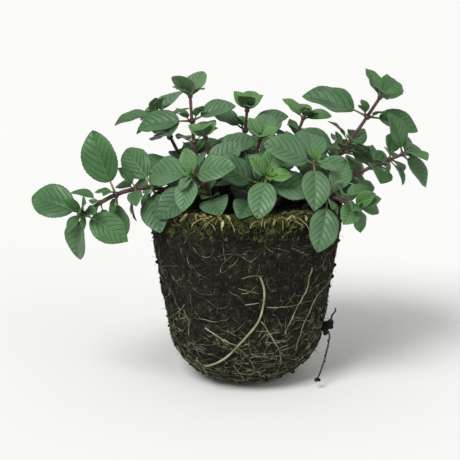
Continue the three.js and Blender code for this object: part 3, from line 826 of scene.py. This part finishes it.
def make_ball():
    bm = bmesh.new()
    line = [bm.verts.new((out, 0.0, height)) for out, height in ball_profile()]
    edges = [bm.edges.new(pair) for pair in zip(line, line[1:])]
    turn = {"cent": (0, 0, 0), "axis": UP, "dvec": (0, 0, 0), "angle": math.tau, "steps": BALL_STEPS}
    bmesh.ops.spin(bm, geom=line + edges, use_merge=True, use_duplicate=False, **turn)
    bmesh.ops.remove_doubles(bm, verts=bm.verts, dist=1e-6)
    bmesh.ops.recalc_face_normals(bm, faces=bm.faces)
    for vert in bm.verts:
        if 0.5 * MM < vert.co.z < 82 * MM:
            vert.co = ball_skin.find_nearest(vert.co)[0]
    bm.normal_update()
    moves = {}
    for vert in bm.verts:
        calm = min(1.0, vert.co.z / (3 * MM))
        moves[vert] = vert.co + vert.normal * roughness_of_peat(vert.co) * calm
    for vert, place in moves.items():
        vert.co = (place.x, place.y, max(0.0, place.z))
    return bm


ball_mesh = make_ball()
peat_skin = BVHTree.FromBMesh(ball_mesh)
print("ball", len(ball_mesh.faces), "faces")

# %% [markdown]
# ## The finish of peat
#
# Moist peat is dark brown where fibres lie on it, with a green or rusty tinge in places, and small patches are
# painted nearly black as painted shade in its gaps.
# It has no gloss at all. Fine noise, stretched into short strands, stands for the fibres that are too thin to model.


# %% Peat, fibre and root finishes
def peat_finish():
    f = Finish("moist_peat", 0.95)
    f.shader.inputs["Specular IOR Level"].default_value = 0.15
    base = f.blend(f.span(f.noise(90.0, 3.0), 0.35, 0.7), (0.007, 0.006, 0.004), (0.018, 0.015, 0.009))
    strands = f.noise(900.0, 2.0, (1.0, 1.0, 0.25), (0.9, 0.4, 0.0))
    for stretch, turn in (((0.25, 1.0, 1.0), (0.0, 0.6, 0.8)), ((1.0, 0.25, 1.0), (0.5, 0.2, 1.1))):
        strands = f.calc("MAXIMUM", strands, f.noise(900.0, 2.0, stretch, turn))
    tint = f.blend(f.span(strands, 0.60, 0.78, 0.0, 0.7), base, (0.060, 0.056, 0.034))
    tint = f.blend(f.span(f.noise(240.0, 2.0), 0.55, 0.75, 0.0, 0.35), tint, (0.040, 0.046, 0.022))
    # Painted shade: small patches are painted nearly black, standing for shade in the gaps of the peat.
    f.colour(f.blend(f.span(f.noise(620.0, 2.0), 0.32, 0.50, 0.9, 0.0), tint, (0.003, 0.003, 0.002)))
    f.bump(f.calc("ADD", strands, f.noise(1300.0, 3.0)), 0.0006)
    return f.material


def strand_finish(name, tints, gloss=0.75, patch=330.0, bump=0.00006):
    """A finish for thin things: three tints that change from strand to strand and along each."""
    f = Finish(name, gloss)
    f.shader.inputs["Specular IOR Level"].default_value = 0.3
    dark, usual, light = tints
    where = f.noise(patch, 1.0)
    tint = f.blend(f.span(where, 0.34, 0.50), dark, usual)
    tint = f.blend(f.span(where, 0.54, 0.70), tint, light)
    f.colour(f.blend(f.span(f.noise(2600.0, 2.0), 0.4, 0.7, 0.0, 0.35), tint, dark))
    f.bump(f.noise(3200.0, 2.0), bump)
    return f.material


PEAT = peat_finish()
FIBRE = strand_finish("peat_fibre", ((0.010, 0.009, 0.006), (0.034, 0.029, 0.017), (0.165, 0.142, 0.082)), 0.9)
FINE_ROOT = strand_finish("fine_root", ((0.060, 0.060, 0.034), (0.180, 0.178, 0.104), (0.360, 0.365, 0.250)))
ROOT = strand_finish("pale_root", ((0.120, 0.120, 0.064), (0.240, 0.240, 0.136), (0.380, 0.385, 0.250)), 0.6, 120.0)
WIRY_ROOT = strand_finish("wiry_root", ((0.012, 0.010, 0.008), (0.035, 0.030, 0.022), (0.095, 0.085, 0.060)), 0.7)
MOSS = strand_finish("moss", ((0.020, 0.030, 0.008), (0.068, 0.085, 0.022), (0.200, 0.205, 0.058)), 0.9, 260.0)
DRY = strand_finish("dry_leaf", ((0.120, 0.095, 0.035), (0.300, 0.245, 0.095), (0.480, 0.420, 0.190)), 0.75, 200.0)
print("finishes", *[m.name for m in (PEAT, FIBRE, FINE_ROOT, ROOT, WIRY_ROOT, MOSS, DRY)])

# %% The ball as a piece
mesh = bpy.data.meshes.new("peat_ball")
ball_mesh.to_mesh(mesh)
ball_mesh.free()
peat_ball = finish_piece(mesh, "peat_ball", [PEAT], ["root_ball"])

# %% [markdown]
# ## Things that creep over the peat
#
# Fibres and roots lie on the ball's skin. Each is a walk: a short step along the skin, a look for the nearest place
# on it, and a small random turn. What is found on the way is a line of points that never leaves the ball.


# %% Walk over the peat
def creep(place, way, length, step, wander, lift):
    points = []
    drift = chance.gauss(0, wander * 0.4)
    for _ in range(max(2, round(length / step)) + 1):
        place, facing, _, _ = peat_skin.find_nearest(place)
        points.append(place + facing * lift)
        way = Quaternion(facing, chance.gauss(drift, wander)) @ (way - facing * way.dot(facing))
        place = place + way.normalized() * step
    return [Vector((p.x, p.y, max(0.55 * MM, p.z))) for p in points]


def any_way():
    return Vector([chance.gauss(0, 1) for _ in range(3)])


def tapered(points, thick, thin):
    """A run for tubes: the points with radii that go from thick to thin."""
    shares = np.linspace(0, 1, len(points))
    return points, [thick + (thin - thick) * share for share in shares]


# %% Lay the peat's own fibres
SIDE_FIBRES, TOP_FIBRES, LOOSE_HAIRS, SHORT_FIBRES = 2900, 380, 330, 4200


def side_spot(low=0.4 * MM, high=84 * MM):
    return ball_side(chance.uniform(0, math.tau), chance.uniform(low, high))


def top_spot():
    out, turn = 48 * MM * math.sqrt(chance.random()), chance.uniform(0, math.tau)
    return Vector((out * math.cos(turn), out * math.sin(turn), ball_high.z))


fibres = []
for number in range(SIDE_FIBRES + TOP_FIBRES):
    spot = side_spot() if number < SIDE_FIBRES else top_spot()
    radius = chance.uniform(0.07, 0.15) * MM
    lift = chance.uniform(-0.05, 0.45) * MM
    points = creep(spot, any_way(), chance.uniform(3.0, 9.0) * MM, 1.15 * MM, 0.32, lift)
    fibres.append(tapered(points, radius, radius * 0.6))
for _ in range(LOOSE_HAIRS):
    place, facing, _, _ = peat_skin.find_nearest(side_spot(3 * MM))
    way = (facing + any_way() * 0.6).normalized()
    length, sag = chance.uniform(1.2, 3.2) * MM, any_way() * 0.25 - UP * 0.3
    points = [place + (way + sag * share) * length * share for share in (-0.2, 0.25, 0.6, 1.0)]
    fibres.append(tapered(points, 0.1 * MM, 0.05 * MM))
peat_fibres = finish_piece(tubes(fibres, sides=4), "peat_fibres", [FIBRE])
print(len(fibres), "fibres,", len(peat_fibres.data.polygons), "faces")
mat = []
for _ in range(SHORT_FIBRES):
    radius = chance.uniform(0.06, 0.11) * MM
    points = creep(side_spot(), any_way(), chance.uniform(2.0, 5.0) * MM, 1.0 * MM, 0.45, chance.uniform(0, 0.3) * MM)
    mat.append(tapered(points, radius, radius * 0.7))
peat_mat = finish_piece(tubes(mat, sides=4), "peat_mat", [FIBRE])
print(len(mat), "short fibres,", len(peat_mat.data.polygons), "faces")

# %% [markdown]
# ## Roots
#
# The living roots are pale cream. Fine ones cross everywhere and are thickest in the lower third, where they circled
# inside the pot. A few main roots run down the front, given here as they are seen from the front: how far to the
# right of the middle, and how high, in millimetres. The others start at random and grow down and around.

# %% Lay the fine roots
fine = []
for number in range(560):
    low_down = number % 5 < 3
    spot = side_spot(0.5 * MM, (32 if low_down else 82) * MM)
    around = UP.cross(spot).normalized() * chance.choice((-1, 1))
    way = around + any_way() * (0.35 if low_down else 0.8)
    radius = chance.uniform(0.09, 0.19) * MM
    points = creep(spot, way, chance.uniform(6, 22) * MM, 1.3 * MM, 0.20, radius + chance.uniform(0, 0.3) * MM)
    fine.append(tapered(points, radius, radius * 0.5))
fine_roots = finish_piece(tubes(fine, sides=4), "fine_roots", [FINE_ROOT])
print(len(fine), "fine roots")

# %% Lay the main roots
FRONT_ROOTS = (
    ((32, 66), (30, 55), (23, 43), (19, 33)),
    ((44, 58), (34, 49), (27, 33), (24, 22)),
    ((7, 41), (12, 33), (18, 19), (14, 7)),
    ((10, 48), (20, 47), (33, 48)),
    ((-1, 50), (4, 51), (9, 50)),
    ((-23, 40), (-16, 40), (-9, 42)),
    ((-20, 36), (-14, 32), (-4, 28), (2, 19), (10, 6)),
    ((-10, 36), (-6, 34), (-1, 31)),
    ((2, 21), (8, 22), (15, 21)),
    ((22, 11), (28, 16), (37, 16)),
    ((-30, 46), (-33, 41), (-38, 33)),
    ((-31, 43), (-28, 38), (-28, 30)),
    ((-6, 17), (-2, 9), (2, 3)),
    ((-2, 64), (3, 66), (8, 65)),
)


def front_of_peat(across, height):
    return feel(peat_skin, Vector((across, -5, height)) * MM, Vector((0, 1, 0)))


def root_through(stops, thick):
    """A main root through places on the skin: straight steps between them, each laid onto the peat."""
    points = []
    for start, end in zip(stops, stops[1:]):
        count = max(2, round((end - start).length / (1.6 * MM)))
        points += [start.lerp(end, i / count) for i in range(count)]
    points.append(stops[-1])
    for _ in range(5):
        inner = [(a + 2 * b + c) / 4 for a, b, c in zip(points, points[1:], points[2:])]
        points = [points[0], *inner, points[-1]]
    bend = chance.uniform(0, 6)
    laid = []
    for point in points:
        jitter = noise.noise_vector(point * 160.0 + Vector((bend, 0, 0))) * 0.7 * MM
        place, facing, _, _ = peat_skin.find_nearest(point + jitter)
        laid.append(place + facing * thick * 0.8)
    return laid


def with_side_roots(points, thick, thin, every):
    """The root itself, and hair roots that leave it on both sides."""
    runs = [tapered(points, thick, thin)]
    for i in range(every, len(points) - 1, every):
        along = points[i + 1] - points[i - 1]
        facing = peat_skin.find_nearest(points[i])[1]
        way = along.normalized() * 0.8 + facing.cross(along.normalized()) * chance.choice((-1, 1))
        radius = thin * chance.uniform(0.35, 0.6)
        hair = creep(points[i], way, chance.uniform(4, 13) * MM, 1.2 * MM, 0.22, radius)
        runs.append(tapered(hair, radius, radius * 0.5))
    return runs


roots = []
for route in FRONT_ROOTS:
    thick = chance.uniform(0.30, 0.40) * MM if len(route) > 3 else chance.uniform(0.20, 0.28) * MM
    laid = root_through([front_of_peat(*stop) for stop in route], thick)
    roots += with_side_roots(laid, thick, thick * 0.55, 4)
for number in range(26):
    turn = chance.uniform(0.15, math.pi - 0.15) if number % 4 else chance.uniform(0, math.tau)
    spot = ball_side(turn, chance.uniform(14, 76) * MM)
    way = -UP * chance.uniform(0.3, 1.3) + UP.cross(spot).normalized() * chance.uniform(-1, 1)
    thick = chance.uniform(0.22, 0.40) * MM
    points = creep(spot, way, chance.uniform(25, 60) * MM, 1.5 * MM, 0.10, thick * 0.8)
    roots += with_side_roots(points, thick, thick * 0.5, 5)
main_roots = finish_piece(tubes(roots, sides=8), "main_roots", [ROOT])
print(len(roots), "main roots and their hair roots,", len(main_roots.data.polygons), "faces")

# %% The frame's own roots
for name, finish in (("side_root", ROOT), ("hanging_root", WIRY_ROOT)):
    root = nodes[name]
    weld = root.modifiers.new("join", "WELD")
    weld.merge_threshold = 1e-6
    smooth = root.modifiers.new("smooth", "SUBSURF")
    smooth.levels = smooth.render_levels = 1
    root.data.materials.clear()
    root.data.materials.append(finish)
    root.data.polygons.foreach_set("use_smooth", [True] * len(root.data.polygons))

# %% [markdown]
# ## Where the hanging root leaves the peat
#
# A clod of peat hangs on to the wiry root where it leaves the ball. One branch of the root turns up from there, and
# crumbs cling along the rest.


# %% Clod, branch and clinging crumbs
def add_lump(bm, place, size, finer=2):
    made = bmesh.ops.create_icosphere(bm, subdivisions=finer, radius=size, matrix=Matrix.Translation(place))
    for vert in made["verts"]:
        away = vert.co - place
        vert.co = place + away * (1 + 0.55 * noise.noise(vert.co * (0.9 / size)))


wiry = merged("hanging_root")
exit_place = max((v.co for v in wiry.verts), key=lambda co: co.z).copy()
exit_way = Vector((exit_place.x, exit_place.y, 0)).normalized()
exit_place = peat_skin.find_nearest(exit_place)[0]
bm = bmesh.new()
for _ in range(22):
    spread = Vector([chance.gauss(0, 1.0) for _ in range(3)]) * MM
    add_lump(bm, exit_place + exit_way * chance.uniform(0.2, 3.6) * MM + spread, chance.uniform(0.9, 1.9) * MM)
for vert in chance.sample(list(wiry.verts), 34):
    add_lump(bm, vert.co, chance.uniform(0.28, 0.62) * MM, 1)
hook = min((v.co for v in wiry.verts), key=lambda co: co.z).copy()
for shift in (0.0, 0.9, 1.7):
    add_lump(bm, hook + Vector((shift, 0, 0.5)) * MM, 0.85 * MM, 2)
wiry.free()
mesh = bpy.data.meshes.new("clinging_peat")
bm.to_mesh(mesh)
bm.free()
clinging_peat = finish_piece(mesh, "clinging_peat", [PEAT])

BRANCH = ((0.5, 0, 0), (3.0, 0.4, 0.6), (5.0, -0.4, 3.2), (5.6, 0.3, 6.0), (7.4, 0.2, 8.6), (7.2, -0.3, 10.0))
branch = [exit_place + exit_way * x * MM + exit_way.cross(UP) * y * MM + UP * z * MM for x, y, z in BRANCH]
strands = [tapered(branch, 0.62 * MM, 0.38 * MM)]
for _ in range(16):
    start = exit_place + exit_way * chance.uniform(0.5, 4.0) * MM + any_way() * 0.8 * MM
    way = (exit_way + any_way() * 0.7 + UP * 0.4).normalized() * chance.uniform(1.5, 4.5) * MM
    strands.append(tapered([start, start + way * 0.5, start + way + any_way() * 0.5 * MM], 0.13 * MM, 0.06 * MM))
root_branch = finish_piece(tubes(strands, sides=8), "root_branch", [WIRY_ROOT])
print("clod of", len(clinging_peat.data.polygons), "faces and", len(strands), "strands")

# %% [markdown]
# ## Moss
#
# Moss has spread over the soil behind the front rim, and hangs over the rim in places. It is made from short,
# tapered shoots in tufts, standing on a low bed that keeps the shape of the frame's cushion.

# %% Moss bed and tufts
SOIL_EDGE = 49 * MM


def soil_spot(turn, out):
    return feel(peat_skin, Vector((out * math.cos(turn), out * math.sin(turn), ball_high.z)), -UP)


def rim_turn():
    """A direction from the middle to the front rim."""
    return math.radians(chance.uniform(-152, -28))


bm = merged("moss_cushion")
bmesh.ops.subdivide_edges(bm, edges=bm.edges, cuts=3, use_grid_fill=True)
for vert in bm.verts:
    vert.co += noise.noise_vector(vert.co * 420.0) * 0.55 * MM
bmesh.ops.recalc_face_normals(bm, faces=bm.faces)
shoots = []
for number in range(1150):
    turn = rim_turn()
    if number % 4 == 0:
        spot = ball_side(turn, ball_high.z - (1.5 + 9.0 * chance.random() ** 2) * MM)
    else:
        spot = soil_spot(turn, SOIL_EDGE * (1 - 0.32 * chance.random() ** 1.4))
    lean = spot.xy.to_3d().normalized() * 0.5
    for _ in range(chance.randint(4, 6)):
        foot = spot + any_way() * 0.35 * MM
        way = (UP * 0.8 + lean + any_way() * 0.55).normalized() * chance.uniform(1.0, 2.6) * MM
        shoots.append(tapered([foot, foot + way * 0.5, foot + way + any_way() * 0.25 * MM], 0.19 * MM, 0.05 * MM))
bm.from_mesh(tubes(shoots, sides=4))
mesh = bpy.data.meshes.new("moss_tufts")
bm.to_mesh(mesh)
bm.free()
moss_tufts = finish_piece(mesh, "moss_tufts", [MOSS], ["moss_cushion"])
print(len(shoots), "moss shoots,", len(mesh.polygons), "faces")

# %% [markdown]
# ## Dry bits
#
# Withered leaves and straw-coloured stalks lie among the moss and hang over the rim, mostly left of the middle and
# right of it. The withered leaves are small blades, bent hard and rolled.

# %% Scatter dry leaves and straws
DRY_PATCHES = ((-116, 7, 9), (-66, 6, 9), (-90, 22, 3), (60, 70, 16))  # direction, spread, how many
bm, layers = new_foliage()
straws = []
for middle_turn, spread, count in DRY_PATCHES:
    for _ in range(count):
        turn = math.radians(chance.gauss(middle_turn, spread))
        out_way = Vector((math.cos(turn), math.sin(turn), 0))
        spot = soil_spot(turn, SOIL_EDGE * chance.uniform(0.86, 0.98)) + UP * chance.uniform(0.8, 2.2) * MM
        length = chance.uniform(3.5, 8.0) * MM
        way = out_way * 0.6 + any_way() * 0.55
        way.z = chance.uniform(-0.25, 0.15)
        bend = chance.uniform(35, 95)
        flake = small_leaf(spot, way, UP + any_way() * 0.5, length, length * chance.uniform(0.16, 0.34), bend)
        habit = {"point": 1.4, "wave": 0.5, "waves": 1.8, "start": chance.random(), "twist": chance.uniform(-3, 3)}
        add_blade(bm, layers, flake, 0.0, habit, 12, 4)
        for _ in range(chance.randint(1, 3)):
            start = soil_spot(turn + chance.gauss(0, 0.1), SOIL_EDGE * chance.uniform(0.8, 0.98)) + UP * MM
            run = (out_way * 0.5 + any_way() * 0.7).normalized() * chance.uniform(4, 11) * MM
            run.z = -abs(run.z) * 0.5
            knee = start + run * 0.5 + UP * chance.uniform(0.2, 1.2) * MM
            straws.append(tapered([start, knee, start + run, start + run * 1.15 - UP * 1.5 * MM], 0.24 * MM, 0.12 * MM))
bm.from_mesh(tubes(straws, sides=6))
bmesh.ops.recalc_face_normals(bm, faces=bm.faces)
mesh = bpy.data.meshes.new("dry_bits")
bm.to_mesh(mesh)
bm.free()
dry_bits = finish_piece(mesh, "dry_bits", [DRY])
print(len(straws), "straws,", len(mesh.polygons), "faces of dry bits")

# %% [markdown]
# ## Crumbs of peat
#
# Loose crumbs hang in the fibres and lie on top. There are hundreds, so nearly all are rough balls of 20 triangles.

# %% Scatter the crumbs
bm = bmesh.new()
for number in range(620):
    spot = top_spot() if number % 5 < 3 else side_spot()
    place, facing, _, _ = peat_skin.find_nearest(spot)
    size = chance.uniform(0.4, 1.1) * MM
    place = place + facing * size * 0.4
    if place.z > 2 * MM:
        add_lump(bm, place, size, 1 if size < 1.0 * MM else 2)
mesh = bpy.data.meshes.new("peat_crumbs")
bm.to_mesh(mesh)
bm.free()
peat_crumbs = finish_piece(mesh, "peat_crumbs", [PEAT])
print("crumbs", len(peat_crumbs.data.polygons), "faces")

# %% [markdown]
# ## Floor, light and camera
#
# The plant stands on a plain pale floor in soft light: a big soft source above and to the left, a weaker one on the
# right, and an even sky. Both sources are suns with a wide angle, so that the floor is equally bright far and near. The camera looks down on the plant by about 15 degrees, from the front.

# %% Pale floor
bm = bmesh.new()
bmesh.ops.create_grid(bm, x_segments=2, y_segments=2, size=6.0)
mesh = bpy.data.meshes.new("floor")
bm.to_mesh(mesh)
bm.free()
floor = bpy.data.objects.new("floor", mesh)
bpy.context.scene.collection.objects.link(floor)
paper = Finish("pale_floor", 0.9)
paper.shader.inputs["Base Color"].default_value = (0.80, 0.80, 0.79, 1.0)
mesh.materials.append(paper.material)

# %% Sky and lamps
world = bpy.data.worlds.new("studio")
bpy.context.scene.world = world
world.use_nodes = True
world.node_tree.nodes["Background"].inputs["Color"].default_value = (1.0, 1.0, 1.0, 1.0)
world.node_tree.nodes["Background"].inputs["Strength"].default_value = 0.52


def sun(name, place, power, softness):
    light = bpy.data.lights.new(name, "SUN")
    light.energy = power
    light.angle = math.radians(softness)
    thing = bpy.data.objects.new(name, light)
    thing.rotation_euler = (-Vector(place)).to_track_quat("-Z", "Y").to_euler()
    bpy.context.scene.collection.objects.link(thing)


sun("key", (-0.40, -0.60, 0.80), 2.7, 28)
sun("fill", (0.7, -0.6, 0.35), 0.5, 50)

# %% Camera
ELEVATION = math.radians(15.2)
DISTANCE = 0.94
VIEW_WIDTH = 0.232
aim = Vector((-0.008, 0.0, 0.076))
eye = aim + Vector((0, -math.cos(ELEVATION), math.sin(ELEVATION))) * DISTANCE
camera_data = bpy.data.cameras.new("camera")
camera_data.angle = 2 * math.atan(VIEW_WIDTH / 2 / DISTANCE)
camera = bpy.data.objects.new("camera", camera_data)
camera.location = eye
camera.rotation_euler = (aim - eye).to_track_quat("-Z", "Y").to_euler()
bpy.context.scene.collection.objects.link(camera)
bpy.context.scene.camera = camera
